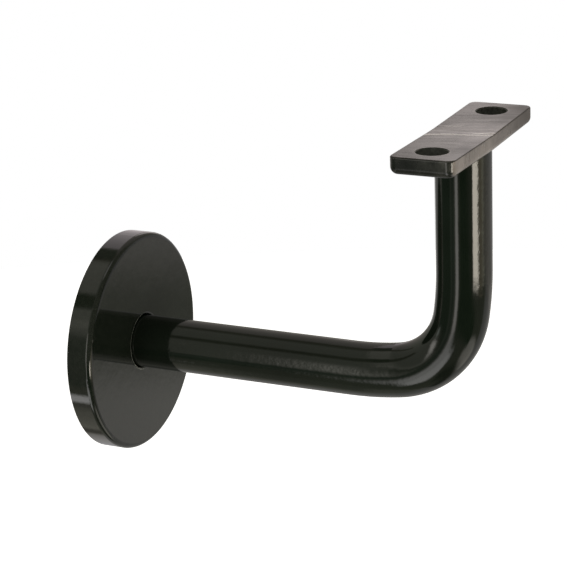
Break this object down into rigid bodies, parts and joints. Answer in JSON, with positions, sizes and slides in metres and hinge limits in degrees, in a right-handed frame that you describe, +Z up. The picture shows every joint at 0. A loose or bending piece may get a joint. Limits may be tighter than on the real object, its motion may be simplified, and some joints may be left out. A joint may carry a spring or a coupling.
{
  "type": "handrail bracket",
  "caption": "Wall bracket for a handrail: a bent round bar with a flat drilled saddle on top and a round rose that slides along the bar and covers the wall fixing.",
  "frame": {"origin": "on the wall plane, at the axis of the round bar (centre of the back of the wall plate)", "axes": "+X out of the wall along the arm, +Y along the handrail, +Z up towards the rail"},
  "size_m": [0.091, 0.05, 0.0807],
  "materials": {
    "black_coat": "gloss black powder coat on steel"
  },
  "bodies": {
    "bracket": {"arm": "black_coat", "saddle": "black_coat", "saddle_weld": "black_coat", "wall_plate": "black_coat", "plate_weld": "black_coat"},
    "rose": {"cover_rose": "black_coat"}
  },
  "joints": [
    {"name": "rose_slide", "type": "slide", "parent": "bracket", "child": "rose", "axis": [1, 0, 0], "range_m": [0, 0.05]}
  ]
}
